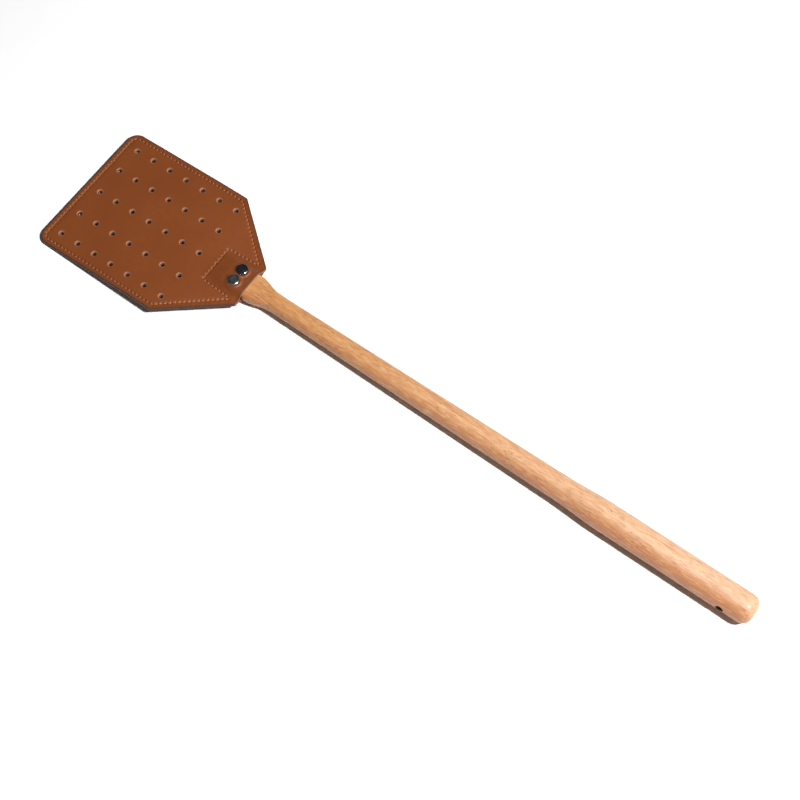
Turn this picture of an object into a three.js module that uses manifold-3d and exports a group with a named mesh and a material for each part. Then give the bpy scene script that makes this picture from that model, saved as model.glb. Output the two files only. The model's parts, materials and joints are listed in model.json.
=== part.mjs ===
// Leather fly swatter: a doubled, punched leather head, sewn round a tongue pocket and
// riveted to a turned beech handle.
//
// Frame, in millimetres: +X runs along the handle towards the grip, +Y across the head and
// +Z up, with the swatter lying flat as on a table. While it is built, x = 0 is the root edge
// of the leather and z = 0 is the handle's axis. The finished group is then tilted as it lies,
// on the front of its grip and the far edge of its leather, and moved so that the origin is
// under the middle of its box.

import * as THREE from "three";
import { mergeVertices } from "three/addons/utils/BufferGeometryUtils.js";
import Module from "manifold-3d";

const wasm = await Module();
wasm.setup();

// ---- Driving dimensions -------------------------------------------------------------------

const CLEARANCE = 0.3; // between pieces that touch

const HEAD_LENGTH = 138; // far edge to root edge
const HEAD_HALF_WIDTH = 50.2;
const ROOT_HALF_WIDTH = 16.3;
const CHAMFER_LENGTH = 42; // along x, from the root edge to the straight side
const FAR_CORNER_RADIUS = 8;
const SIDE_CORNER_RADIUS = 2;
const ROOT_CORNER_RADIUS = 2.2;
const LEATHER = 1.2; // thickness of one panel

const HOLE_PITCH = 14; // along x
const HOLE_ROWS = 7;
const FIRST_ROW_FROM_FAR_EDGE = 12;
const HOLE_COLUMNS = [-38.6, -20.2, 0, 20.2, 38.6];
const HOLE_RADIUS = 1.7;

const TONGUE_LENGTH = 20; // from the root edge into the head
const TONGUE_HALF_WIDTH = 9.6;
const TONGUE_HALF_THICKNESS = 4.2;
const TONGUE_CORNER = 3;
const TONGUE_SQUARENESS = 5; // superellipse exponent of its section
const TONGUE_END_EASE = 0.2; // how much of the end corner is also taken off its thickness
const WEDGE_START = 12; // from the root edge, where the tongue begins to thin towards its end
const FLARE_START = 2;
const FLARE_END = 18; // where the width has come down to the neck
const CHEEK_END = 25; // where the flat cheeks have run out

const NECK_AT = 22;
const NECK_RADIUS = 6.35;
const TAPER_END = 237;
const TAPER_END_RADIUS = 8.3;
const SHOULDER_END = 266;
const GRIP_RADIUS = 9.55;
const HANDLE_END = 370;
const END_ROUND = 6.5;
const HANG_HOLE_FROM_END = 18.7;
const HANG_HOLE_RADIUS = 2.25;

const POCKET_WALL = TONGUE_HALF_WIDTH + 1.2; // inner half width, at the panels' joint
const POCKET_HALF_WIDTH = 12.6; // of the leather's swelling over the tongue
const POCKET_SQUARENESS = 3.5;
const POCKET_FOOT_FROM_ROOT = 27.4; // where the leather has come down to the flat
const POCKET_SEAM_HALF_WIDTH = 13.4; // at the pocket's closed end
const POCKET_SEAM_FROM_ROOT = 28.2;
const MOUTH_SEAM_HALF_WIDTH = 14.6; // where the seam turns off along the chamfer
const MOUTH_SEAM_FROM_ROOT = 4.9;
const STITCH_INSET = 3.5;
const THREAD_RADIUS = 0.35;
const THREAD_SINK = 0.15; // how far the thread's centre lies under the leather's face
const STITCH_GROOVE_RADIUS = THREAD_RADIUS + 0.2;
const SEAM_CORNER_RADIUS = 1.2;

const RIVET_FROM_ROOT = 9.8;
const RIVET_SPACING = 8.95;
const CAP_RADIUS = 4;
const CAP_RIM = 0.35;
const CAP_HEIGHT = 1.5;
const CAP_SIDES = 24;
const POST_RADIUS = 0.8;
const SLEEVE_RADIUS = 1.5;
const SLEEVE_BORE_RADIUS = POST_RADIUS + CLEARANCE;

// The leather leaves the pocket in line with the handle, curves down over the bend, and runs
// straight on until its far edge rests on the table that the front of the grip also lies on.
const LIE_TILT = THREE.MathUtils.degToRad(0.35); // the handle's slope, lower towards the head
const BEND_START = -POCKET_SEAM_FROM_ROOT - 1;
const BEND_LENGTH = 40;
const STACK_HALF = LEATHER + CLEARANCE / 2;
const STRAIGHT_LENGTH = HEAD_LENGTH + BEND_START - BEND_LENGTH;
const TABLE_UNDER_FAR_EDGE = GRIP_RADIUS - (SHOULDER_END + HEAD_LENGTH) * Math.tan(LIE_TILT);
const DROOP_SLOPE = (TABLE_UNDER_FAR_EDGE - STACK_HALF) / (STRAIGHT_LENGTH + BEND_LENGTH / 2);

// ---- Small tools --------------------------------------------------------------------------

function toManifold(geometry) {
  const plain = geometry.clone();
  plain.deleteAttribute("normal");
  plain.deleteAttribute("uv");
  const merged = mergeVertices(plain, 1e-4);
  return new wasm.Manifold(
    new wasm.Mesh({
      numProp: 3,
      vertProperties: merged.attributes.position.array,
      triVerts: new Uint32Array(merged.index.array),
    }),
  );
}

function toGeometry(solid) {
  const mesh = solid.getMesh();
  const geometry = new THREE.BufferGeometry();
  geometry.setAttribute("position", new THREE.BufferAttribute(mesh.vertProperties, 3));
  geometry.setIndex(new THREE.BufferAttribute(mesh.triVerts, 1));
  geometry.computeVertexNormals();
  return geometry;
}

// A closed outline through the corners, each rounded by its own radius.
function roundedOutline(corners, radii) {
  const outline = new THREE.Shape();
  const count = corners.length;
  corners.forEach((corner, i) => {
    const before = corners[(i + count - 1) % count].clone().sub(corner);
    const after = corners[(i + 1) % count].clone().sub(corner);
    const half = Math.acos(before.dot(after) / (before.length() * after.length())) / 2;
    const cut = radii[i] / Math.tan(half);
    const start = corner.clone().addScaledVector(before.normalize(), cut);
    const middle = before.clone().add(after.normalize()).normalize();
    const centre = corner.clone().addScaledVector(middle, radii[i] / Math.sin(half));
    const end = corner.clone().addScaledVector(after, cut);
    const from = Math.atan2(start.y - centre.y, start.x - centre.x);
    const to = Math.atan2(end.y - centre.y, end.x - centre.x);
    const turn = before.cross(after) > 0;
    outline.absarc(centre.x, centre.y, radii[i], from, to, turn);
  });
  outline.closePath();
  return outline;
}

function circlePath(x, y, radius) {
  const path = new THREE.Path();
  path.absarc(x, y, radius, 0, 2 * Math.PI, true);
  return path;
}

// The shape lies in the XY plane and the solid fills low < z < high.
function prism(shape, low, high, curveSegments = 5) {
  const geometry = new THREE.ExtrudeGeometry(shape, {
    depth: high - low,
    bevelEnabled: false,
    curveSegments,
  });
  return toManifold(geometry.translate(0, 0, low));
}

function cylinderAlongZ(x, y, radius, low, high, sides) {
  const geometry = new THREE.CylinderGeometry(radius, radius, high - low, sides);
  geometry.rotateX(Math.PI / 2);
  return toManifold(geometry.translate(x, y, (low + high) / 2));
}

// A profile of [radius, height] points turned about the Z axis.
function turned(points, sides) {
  const profile = points.map(([radius, height]) => new THREE.Vector2(radius, height));
  return new THREE.LatheGeometry(profile, sides).rotateX(Math.PI / 2);
}

// A closed solid along the X axis. Every station's section is a superellipse, and its
// squareness is the exponent: 2 is an ellipse and more is closer to a rectangle.
function lofted(stations, sides) {
  const profile = stations.map(({ x }) => new THREE.Vector2(1, x));
  profile.unshift(new THREE.Vector2(0, stations[0].x));
  profile.push(new THREE.Vector2(0, stations[stations.length - 1].x));
  const geometry = new THREE.LatheGeometry(profile, sides).rotateZ(-Math.PI / 2);
  const position = geometry.attributes.position;
  for (let i = 0; i < position.count; i += 1) {
    const station = stations[(i % profile.length) - 1];
    if (!station) continue;
    const squared = (value) => Math.sign(value) * Math.abs(value) ** (2 / station.squareness);
    position.setY(i, squared(position.getY(i)) * station.halfWidth);
    position.setZ(i, squared(position.getZ(i)) * station.halfHeight);
  }
  return toManifold(geometry);
}

function smoothstep(value, start, end) {
  const t = THREE.MathUtils.clamp((value - start) / (end - start), 0, 1);
  return t * t * (3 - 2 * t);
}

// ---- The head -----------------------------------------------------------------------------

const rivetPlaces = [-1, 1].map(
  (side) => new THREE.Vector2(-RIVET_FROM_ROOT, (side * RIVET_SPACING) / 2),
);

// Height of the leather's middle plane above the handle's axis.
function droop(x) {
  const intoBend = Math.max(0, BEND_START - x);
  if (intoBend <= BEND_LENGTH) return (-DROOP_SLOPE * intoBend * intoBend) / (2 * BEND_LENGTH);
  return -DROOP_SLOPE * (intoBend - BEND_LENGTH / 2);
}

function headOutline() {
  const corners = [
    new THREE.Vector2(0, -ROOT_HALF_WIDTH),
    new THREE.Vector2(0, ROOT_HALF_WIDTH),
    new THREE.Vector2(-CHAMFER_LENGTH, HEAD_HALF_WIDTH),
    new THREE.Vector2(-HEAD_LENGTH, HEAD_HALF_WIDTH),
    new THREE.Vector2(-HEAD_LENGTH, -HEAD_HALF_WIDTH),
    new THREE.Vector2(-CHAMFER_LENGTH, -HEAD_HALF_WIDTH),
  ];
  const radii = [
    ROOT_CORNER_RADIUS,
    ROOT_CORNER_RADIUS,
    SIDE_CORNER_RADIUS,
    FAR_CORNER_RADIUS,
    FAR_CORNER_RADIUS,
    SIDE_CORNER_RADIUS,
  ];
  return roundedOutline(corners, radii);
}

function punchedOutline() {
  const shape = headOutline();
  for (let row = 0; row < HOLE_ROWS; row += 1) {
    const x = FIRST_ROW_FROM_FAR_EDGE + row * HOLE_PITCH - HEAD_LENGTH;
    HOLE_COLUMNS.forEach((y) => shape.holes.push(circlePath(x, y, HOLE_RADIUS)));
  }
  rivetPlaces.forEach(({ x, y }) => {
    shape.holes.push(circlePath(x, y, SLEEVE_RADIUS + CLEARANCE));
  });
  return shape;
}

// A drooping sheet wider than the head, between two heights above the middle plane.
function droopingSheet(low, high) {
  const bendSteps = 6;
  const stations = [2, BEND_START];
  for (let i = 1; i <= bendSteps; i += 1) stations.push(BEND_START - (BEND_LENGTH * i) / bendSteps);
  stations.push(-HEAD_LENGTH - 2);
  const upper = stations.map((x) => new THREE.Vector2(x, droop(x) + high));
  const lower = stations.map((x) => new THREE.Vector2(x, droop(x) + low));
  const width = 2 * HEAD_HALF_WIDTH + 4;
  const geometry = new THREE.ExtrudeGeometry(new THREE.Shape([...lower, ...upper.reverse()]), {
    depth: width,
    bevelEnabled: false,
  });
  return toManifold(geometry.rotateX(Math.PI / 2).translate(0, width / 2, 0));
}

// Half the pocket's outer height. It thins with the tongue and falls on past the tongue's end.
function pocketHalfHeight(x) {
  const full = TONGUE_HALF_THICKNESS + CLEARANCE + LEATHER;
  const fall = smoothstep(-x, WEDGE_START, POCKET_FOOT_FROM_ROOT);
  return THREE.MathUtils.lerp(full, LEATHER, fall);
}

// A solid round the tongue from end out past the root edge, lying depth under the outer face.
function pocketSolid(halfWidth, end, depth, squareness) {
  const overhang = 6;
  const steps = 7;
  const wedge = Array.from({ length: steps + 1 }, (_, i) => {
    return THREE.MathUtils.lerp(end, -WEDGE_START, i / steps);
  });
  const stations = [...wedge, overhang].map((x) => {
    return { x, halfWidth, halfHeight: pocketHalfHeight(x) - depth, squareness };
  });
  return lofted(stations, 32);
}

function seamCorners() {
  const root = new THREE.Vector2(0, ROOT_HALF_WIDTH);
  const side = new THREE.Vector2(-CHAMFER_LENGTH, HEAD_HALF_WIDTH);
  const along = side.clone().sub(root).normalize();
  const inset = side.clone().addScaledVector(new THREE.Vector2(-along.y, along.x), STITCH_INSET);
  const sideY = HEAD_HALF_WIDTH - STITCH_INSET;
  const sideX = inset.x + ((sideY - inset.y) * along.x) / along.y;
  const farX = -HEAD_LENGTH + STITCH_INSET;
  const half = [
    new THREE.Vector2(-POCKET_SEAM_FROM_ROOT, 0),
    new THREE.Vector2(-POCKET_SEAM_FROM_ROOT, POCKET_SEAM_HALF_WIDTH),
    new THREE.Vector2(-MOUTH_SEAM_FROM_ROOT, MOUTH_SEAM_HALF_WIDTH),
    new THREE.Vector2(sideX, sideY),
    new THREE.Vector2(farX, sideY),
  ];
  const mirrored = half.slice(1).reverse().map(({ x, y }) => new THREE.Vector2(x, -y));
  return [...half, ...mirrored];
}

// The seam's line on one face of the head, from one side of the pocket end round to the other.
class SeamCurve extends THREE.Curve {
  constructor(height) {
    super();
    this.height = height;
    this.plan = new THREE.CurvePath();
    const corners = seamCorners();
    const gap = 0.6; // left between the thread's two ends
    const stops = [corners[0].clone().setY(gap), ...corners.slice(1), corners[0].clone().setY(-gap)];
    let last = stops[0];
    for (let i = 1; i < stops.length - 1; i += 1) {
      const corner = stops[i];
      const start = corner.clone().lerp(last, this.cornerShare(corner, last));
      const end = corner.clone().lerp(stops[i + 1], this.cornerShare(corner, stops[i + 1]));
      this.plan.add(new THREE.LineCurve(last, start));
      this.plan.add(new THREE.QuadraticBezierCurve(start, corner, end));
      last = end;
    }
    this.plan.add(new THREE.LineCurve(last, stops[stops.length - 1]));
  }

  cornerShare(corner, neighbour) {
    return SEAM_CORNER_RADIUS / corner.distanceTo(neighbour);
  }

  getPoint(t) {
    const { x, y } = this.plan.getPoint(t);
    return new THREE.Vector3(x, y, droop(x) + this.height);
  }
}

// A tube along the seam, with a six-sided section. side is +1 on the front face, -1 on the back.
function seamTube(side, radius) {
  const stepLength = 3;
  const curve = new SeamCurve(side * (STACK_HALF - THREAD_SINK));
  const section = new THREE.Shape();
  section.absarc(0, 0, radius, 0, 2 * Math.PI, false);
  return new THREE.ExtrudeGeometry(section, {
    extrudePath: curve,
    steps: Math.round(curve.getLength() / stepLength),
    curveSegments: 3,
    bevelEnabled: false,
  });
}

// side is +1 for the front panel and -1 for the back one.
function leatherPanel(side) {
  const near = CLEARANCE / 2;
  const far = near + LEATHER;
  const sheet = side > 0 ? droopingSheet(near, far) : droopingSheet(-far, -near);
  const outside = pocketSolid(POCKET_HALF_WIDTH, -POCKET_FOOT_FROM_ROOT, 0, POCKET_SQUARENESS);
  const cavityEnd = -TONGUE_LENGTH - CLEARANCE;
  const inside = pocketSolid(POCKET_WALL, cavityEnd, LEATHER, TONGUE_SQUARENESS);
  const reach = 2 * HEAD_LENGTH;
  const halfSpace = new THREE.BoxGeometry(reach, reach, reach).translate(0, 0, side * (near + reach / 2));
  const cutter = prism(punchedOutline(), -2 * GRIP_RADIUS, GRIP_RADIUS);
  const groove = toManifold(seamTube(side, STITCH_GROOVE_RADIUS));
  return sheet
    .add(outside.intersect(toManifold(halfSpace)))
    .intersect(cutter)
    .subtract(inside)
    .subtract(groove);
}

// ---- The handle ---------------------------------------------------------------------------

function handleRadius(x) {
  if (x < NECK_AT) return NECK_RADIUS;
  const taper = THREE.MathUtils.mapLinear(x, NECK_AT, TAPER_END, NECK_RADIUS, TAPER_END_RADIUS);
  if (x < TAPER_END) return taper;
  const step = smoothstep(x, TAPER_END, SHOULDER_END);
  const body = THREE.MathUtils.lerp(TAPER_END_RADIUS, GRIP_RADIUS, step);
  const intoRound = Math.max(0, x - (HANDLE_END - END_ROUND));
  return body - END_ROUND + Math.sqrt(END_ROUND ** 2 - intoRound ** 2);
}

// How far the tongue's outline has come in at its rounded end.
function endCorner(x) {
  const intoCorner = Math.max(0, TONGUE_CORNER - TONGUE_LENGTH - x);
  return TONGUE_CORNER - Math.sqrt(TONGUE_CORNER ** 2 - intoCorner ** 2);
}

function halfWidth(x) {
  const flare = smoothstep(x, FLARE_START, FLARE_END);
  return THREE.MathUtils.lerp(TONGUE_HALF_WIDTH - endCorner(x), handleRadius(x), flare);
}

function halfThickness(x) {
  const cavity = pocketHalfHeight(x) - LEATHER;
  const tongue = cavity - CLEARANCE - endCorner(x) * TONGUE_END_EASE;
  return THREE.MathUtils.lerp(tongue, handleRadius(x), smoothstep(x, FLARE_START, CHEEK_END));
}

function handleStations() {
  const spread = (from, to, count) => {
    return Array.from({ length: count }, (_, i) => from + ((to - from) * i) / count);
  };
  const roundSteps = 5;
  const shares = spread(0, 1, roundSteps).concat(1);
  const round = shares.map((share) => Math.sin((share * Math.PI) / 2));
  const tongueEnd = round.slice(1).map((share) => -TONGUE_LENGTH + TONGUE_CORNER * (1 - share));
  return [
    ...tongueEnd.reverse(),
    ...spread(TONGUE_CORNER - TONGUE_LENGTH, -WEDGE_START, 4),
    -WEDGE_START,
    ...spread(FLARE_START - 1, CHEEK_END, 13),
    ...spread(CHEEK_END, TAPER_END, 4),
    ...spread(TAPER_END, SHOULDER_END, 8),
    ...round.map((share) => HANDLE_END - END_ROUND * (1 - share)),
  ];
}

// The blank is turned round, then its head end is worked into a flared, flat tongue.
function handleBlank() {
  const stations = handleStations().map((x) => {
    const roundness = smoothstep(x, FLARE_START, CHEEK_END);
    return {
      x,
      halfWidth: halfWidth(x),
      halfHeight: halfThickness(x),
      squareness: THREE.MathUtils.lerp(TONGUE_SQUARENESS, 2, roundness),
    };
  });
  return lofted(stations, 32);
}

function handle() {
  const hole = new THREE.CylinderGeometry(HANG_HOLE_RADIUS, HANG_HOLE_RADIUS, 4 * GRIP_RADIUS, 20);
  hole.translate(HANDLE_END - HANG_HOLE_FROM_END, 0, 0);
  let solid = handleBlank().subtract(toManifold(hole));
  rivetPlaces.forEach(({ x, y }) => {
    const drill = cylinderAlongZ(x, y, SLEEVE_RADIUS + CLEARANCE, -GRIP_RADIUS, GRIP_RADIUS, 16);
    solid = solid.subtract(drill);
  });
  return solid;
}

// ---- The rivets ---------------------------------------------------------------------------

const CAP_SEAT = TONGUE_HALF_THICKNESS + CLEARANCE + LEATHER + CLEARANCE; // a cap's underside
const BORE_END = -CAP_SEAT + 2 * CLEARANCE; // of the post at one end, of the sleeve at the other

// The dome of a cap, from its rim in to the axis, as [radius, height] points.
function capDome() {
  const steps = 5;
  return Array.from({ length: steps + 1 }, (_, i) => {
    const angle = ((i / steps) * Math.PI) / 2;
    const rise = (CAP_HEIGHT - CAP_RIM) * Math.sin(angle);
    return [CAP_RADIUS * Math.cos(angle), CAP_SEAT + CAP_RIM + rise];
  });
}

function frontCap() {
  const profile = [
    [0, BORE_END],
    [POST_RADIUS, BORE_END],
    [POST_RADIUS, CAP_SEAT],
    [CAP_RADIUS, CAP_SEAT],
    ...capDome(),
  ];
  return turned(profile, CAP_SIDES);
}

// Modelled like the front cap and turned over: the sleeve's mouth faces the front cap.
function backCap() {
  const profile = [
    [0, CAP_SEAT],
    [SLEEVE_BORE_RADIUS, CAP_SEAT],
    [SLEEVE_BORE_RADIUS, BORE_END],
    [SLEEVE_RADIUS, BORE_END],
    [SLEEVE_RADIUS, CAP_SEAT],
    [CAP_RADIUS, CAP_SEAT],
    ...capDome(),
  ];
  return turned(profile, CAP_SIDES).rotateX(Math.PI);
}

// ---- Assembly -----------------------------------------------------------------------------

const leather = { color: 0x844929, roughness: 0.55, metalness: 0 };
const thread = { color: 0xb08a62, roughness: 0.8, metalness: 0 };
const beech = { color: 0xe0a873, roughness: 0.5, metalness: 0 };
const gunmetal = { color: 0x4a4744, roughness: 0.3, metalness: 0.9 };

const swatter = new THREE.Group();

function addPiece(name, geometry, finish) {
  const mesh = new THREE.Mesh(geometry, new THREE.MeshStandardMaterial(finish));
  mesh.name = name;
  swatter.add(mesh);
  return mesh;
}

addPiece("handle", toGeometry(handle()), beech);
addPiece("front_leather_panel", toGeometry(leatherPanel(1)), leather);
addPiece("back_leather_panel", toGeometry(leatherPanel(-1)), leather);
addPiece("front_seam_thread", seamTube(1, THREAD_RADIUS), thread);
addPiece("back_seam_thread", seamTube(-1, THREAD_RADIUS), thread);
rivetPlaces.forEach(({ x, y }, i) => {
  const letter = "ab"[i];
  addPiece(`rivet_front_cap_${letter}`, frontCap(), gunmetal).position.set(x, y, 0);
  addPiece(`rivet_back_cap_${letter}`, backCap(), gunmetal).position.set(x, y, 0);
});

swatter.rotation.y = -LIE_TILT;
swatter.updateMatrixWorld(true);
const box = new THREE.Box3().setFromObject(swatter, true);
swatter.position.set(-(box.min.x + box.max.x) / 2, 0, -box.min.z);
swatter.updateMatrixWorld(true);

export default swatter;
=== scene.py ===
"""Leather fly swatter: the looks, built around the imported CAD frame.

Every piece is modelled in the handle's own frame, in metres: u runs along the handle from the
root edge of the leather towards the grip, v across the head, and w up from the handle's axis.
TO_ROW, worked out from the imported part, then puts it in the row frame.
"""

import json
import math

import bmesh
import bpy
import numpy as np
from mathutils import Matrix, Vector
from mathutils.geometry import delaunay_2d_cdt
from mathutils.kdtree import KDTree


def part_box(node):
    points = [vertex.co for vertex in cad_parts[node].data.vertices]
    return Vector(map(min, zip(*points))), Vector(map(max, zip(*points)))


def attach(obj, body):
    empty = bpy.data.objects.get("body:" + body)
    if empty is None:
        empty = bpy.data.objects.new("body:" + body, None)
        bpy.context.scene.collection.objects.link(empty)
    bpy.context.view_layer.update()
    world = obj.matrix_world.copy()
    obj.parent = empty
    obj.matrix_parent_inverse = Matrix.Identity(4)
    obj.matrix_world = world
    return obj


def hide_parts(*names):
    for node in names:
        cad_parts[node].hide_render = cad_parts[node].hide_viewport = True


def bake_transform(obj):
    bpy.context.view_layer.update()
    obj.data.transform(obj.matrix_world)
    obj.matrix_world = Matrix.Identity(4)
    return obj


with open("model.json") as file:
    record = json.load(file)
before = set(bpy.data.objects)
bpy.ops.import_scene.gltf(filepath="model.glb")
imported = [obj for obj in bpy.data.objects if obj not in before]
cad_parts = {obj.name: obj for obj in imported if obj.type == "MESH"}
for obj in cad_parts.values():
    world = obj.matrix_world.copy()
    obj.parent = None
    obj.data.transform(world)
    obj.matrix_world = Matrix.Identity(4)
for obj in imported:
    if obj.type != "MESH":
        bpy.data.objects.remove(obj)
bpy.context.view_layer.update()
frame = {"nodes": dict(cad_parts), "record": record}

# ---- Driving dimensions, in metres ---------------------------------------------------------

MM = 0.001

HEAD_LENGTH = 138 * MM
HEAD_HALF_WIDTH = 50.2 * MM
ROOT_HALF_WIDTH = 16.3 * MM
CHAMFER_LENGTH = 42 * MM
FAR_CORNER_RADIUS = 8 * MM
SIDE_CORNER_RADIUS = 2 * MM
ROOT_CORNER_RADIUS = 2.2 * MM
LEATHER = 1.2 * MM
PANEL_GAP = 0.12 * MM  # between the two panels, seen as a fine line round the edge
STACK_HALF = 1.35 * MM  # from the middle plane to an outer face
EDGE_ROUND = 0.45 * MM  # radius of the worked edge
EDGE_RINGS = [s * MM for s in (0.04, 0.14, 0.28, 0.45, 0.8)]  # rows of points inside the edge
OUTLINE_STEP = 1.6 * MM
ARC_STEP = 0.5 * MM

HOLE_PITCH = 14 * MM
HOLE_ROWS = 7
FIRST_ROW_FROM_FAR_EDGE = 12 * MM
HOLE_COLUMNS = [v * MM for v in (-38.6, -20.2, 0, 20.2, 38.6)]
HOLE_RADIUS = 1.7 * MM
HOLE_WAIST_RADIUS = 0.7 * MM  # between the panels
HOLE_SIDES = 28
HOLE_RINGS = [r * MM for r in (0.10, 0.22, 0.75, 0.90)]  # rings of points outside each hole
# Outside a panel, each hole's mouth is a cone: rings at the first radii of the flat pattern end
# up at the second ones, this far below the face, with this much of the pale cut leather showing.
MOUTH_FLAT = [r * MM for r in (1.70, 1.80, 1.92, 2.45)]
MOUTH_FORMED = [r * MM for r in (1.32, 1.42, 1.76, 2.25)]
MOUTH_DROP = [d * MM for d in (0.85, 0.74, 0.18, 0.0)]
MOUTH_RAW = [0.0, 0.55, 0.75, 0.0]

TONGUE_LENGTH = 20 * MM
TONGUE_HALF_WIDTH = 9.6 * MM
TONGUE_HALF_THICKNESS = 4.2 * MM
TONGUE_CORNER = 3 * MM
TONGUE_SQUARENESS = 5
TONGUE_END_EASE = 0.2
WEDGE_START = 12 * MM
WEDGE_FOOT = 27.4 * MM  # where the tongue's wedge would have thinned to nothing
FLARE_START = 2 * MM
FLARE_END = 18 * MM
CHEEK_END = 25 * MM
NECK_AT = 22 * MM
NECK_RADIUS = 6.35 * MM
TAPER_END = 237 * MM
TAPER_END_RADIUS = 8.3 * MM
SHOULDER_END = 266 * MM
GRIP_RADIUS = 9.55 * MM
HANDLE_END = 370 * MM
END_ROUND = 6.5 * MM
HANG_HOLE_FROM_END = 18.7 * MM
HANG_HOLE_RADIUS = 2.25 * MM

POCKET_TOP = 5.7 * MM  # outer face of the leather over the tongue
POCKET_FLAT_HALF_WIDTH = 7.4 * MM
POCKET_FOOT_HALF_WIDTH = 13.6 * MM
POCKET_FOOT_FROM_ROOT = 31 * MM

# The hide's unevenness: two waves, each with its height, its radians per metre along and across
# the head, and its phase. It is nothing at the far edge and over the tongue.
RIPPLES = [(0.10 * MM, 62, 35, 0.6), (0.07 * MM, -41, 96, 0.0)]
RIPPLE_FROM_FAR_EDGE = 30 * MM
RIPPLE_FROM_ROOT = 30 * MM
RIPPLE_FULL_FROM_ROOT = 55 * MM

STITCH_INSET = 3.5 * MM
SEAM_HALF_WIDTH = 13.4 * MM  # at the pocket's closed end
SEAM_FROM_ROOT = 28.2 * MM
MOUTH_SEAM_HALF_WIDTH = 14.6 * MM  # where the seam turns off along the chamfer
MOUTH_SEAM_FROM_ROOT = 4.9 * MM
SEAM_CORNER_RADIUS = 1.2 * MM
FAR_SEAM_CORNER_RADIUS = 4.5 * MM
SEAM_CORNER_STEPS = 6
SEAM_END_GAP = 0.6 * MM  # from the pocket's middle to each end of the seam
STITCH_PITCH = 3 * MM
GROOVE_DEPTH = 0.13 * MM
GROOVE_WIDTH = 0.80 * MM
PIT_DEPTH = 0.80 * MM  # at each needle hole
PIT_WIDTH = 0.66 * MM
THREAD_RADIUS = 0.33 * MM
PLY_PITCH = 0.55 * MM
NEEDLE_DIP = -1.05 * MM  # the thread's middle at a needle hole, from the face of the leather
STITCH_TOP = -0.12 * MM  # and in the middle of a stitch across the head
SIDE_STITCH_TOP = -0.54 * MM  # and of a stitch lengthwise, which is pulled in deeper
STITCH_SQUARENESS = 2.4
STITCH_SLANT = 0.11 * MM

RIVET_FROM_ROOT = 9.8 * MM
RIVET_SPACING = 8.95 * MM
CAP_RADIUS = 4 * MM
CAP_RIM = 0.35 * MM
CAP_HEIGHT = 1.5 * MM
CAP_SQUARENESS = 2.7  # above 2, the dome is flatter on top and rounder at its shoulder
CAP_SEAT = 6.0 * MM
POST_RADIUS = 0.8 * MM
SLEEVE_RADIUS = 1.5 * MM
SLEEVE_BORE_RADIUS = 1.1 * MM
SHANK_END = -5.4 * MM
RIVET_HOLE_RADIUS = 1.8 * MM
RIVET_HOLE_SIDES = 24
RIVET_RINGS = np.linspace(0.8, 5.4, 12) * MM  # rings of points outside each rivet's hole
RIVET_RING_SIDES = 40
SWELL_HEIGHT = 0.34 * MM  # of the leather squeezed out round each cap
SWELL_FROM_CAP = 0.75 * MM
SWELL_WIDTH = 0.6 * MM
HOLLOW_DEPTH = 0.16 * MM  # outside the swell
HOLLOW_FROM_CAP = 2.3 * MM
HOLLOW_WIDTH = 1.0 * MM

BEND_START = -29.2 * MM  # where the head starts to come down to the table
BEND_LENGTH = 40 * MM


# ---- The handle's frame in the row frame ---------------------------------------------------


def handle_frame():
    """The matrix from the handle's frame to the row frame, from the rivets and the grip's end."""
    rivet_nodes = [name for name in frame["nodes"] if name.startswith("rivet")]
    corners = [corner for node in rivet_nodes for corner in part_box(node)]
    low = Vector([min(c[i] for c in corners) for i in range(3)])
    high = Vector([max(c[i] for c in corners) for i in range(3)])
    rivets = (low + high) / 2
    mounts = {m["name"]: m for m in frame["record"]["mounts"]}
    grip_end = Vector(mounts["grip_end"]["pos_m"])
    along = (grip_end - rivets).normalized()
    across = Vector((0, 1, 0))
    up = along.cross(across)
    turn = Matrix((along, across, up)).transposed().to_4x4()
    return Matrix.Translation(rivets + along * RIVET_FROM_ROOT) @ turn


TO_ROW = handle_frame()
FROM_ROW = TO_ROW.inverted()


def far_edge_droop():
    """How far the middle plane has come down at the far edge, where the leather lies on z = 0."""
    far = TO_ROW @ Vector((-HEAD_LENGTH, 0, 0))
    return STACK_HALF - far.z


DROOP_SLOPE = -far_edge_droop() / (HEAD_LENGTH + BEND_START - BEND_LENGTH / 2)


# ---- Shape functions (numpy arrays in, arrays out) -----------------------------------------


def smoothstep(value, start, end):
    t = np.clip((value - start) / (end - start), 0, 1)
    return t * t * (3 - 2 * t)


def bell(distance, width):
    return np.exp(-((distance / width) ** 2))


def droop(u):
    """Height of the leather's middle plane above the handle's axis."""
    into = np.maximum(0, BEND_START - u)
    curved = -DROOP_SLOPE * into**2 / (2 * BEND_LENGTH)
    straight = -DROOP_SLOPE * (into - BEND_LENGTH / 2)
    return np.where(into <= BEND_LENGTH, curved, straight)


def ripple(u, v):
    """The slight unevenness of the hide."""
    waves = [size * np.sin(u * along + v * across + phase) for size, along, across, phase in RIPPLES]
    from_far_edge = smoothstep(u, -HEAD_LENGTH, -HEAD_LENGTH + RIPPLE_FROM_FAR_EDGE)
    from_root = smoothstep(-u, RIPPLE_FROM_ROOT, RIPPLE_FULL_FROM_ROOT)
    return sum(waves) * (from_far_edge * from_root)


def pocket_lift(u, v):
    """How far the leather is formed up over the tongue."""
    beside = smoothstep(-np.abs(v), -POCKET_FOOT_HALF_WIDTH, -POCKET_FLAT_HALF_WIDTH)
    eased = smoothstep(u, -POCKET_FOOT_FROM_ROOT, -WEDGE_START)
    even = np.clip((u + POCKET_FOOT_FROM_ROOT) / (POCKET_FOOT_FROM_ROOT - WEDGE_START), 0, 1)
    past = (eased + even) / 2
    return (POCKET_TOP - STACK_HALF) * beside * past


def rivet_places():
    return [(-RIVET_FROM_ROOT, side * RIVET_SPACING / 2) for side in (-1, 1)]


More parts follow.
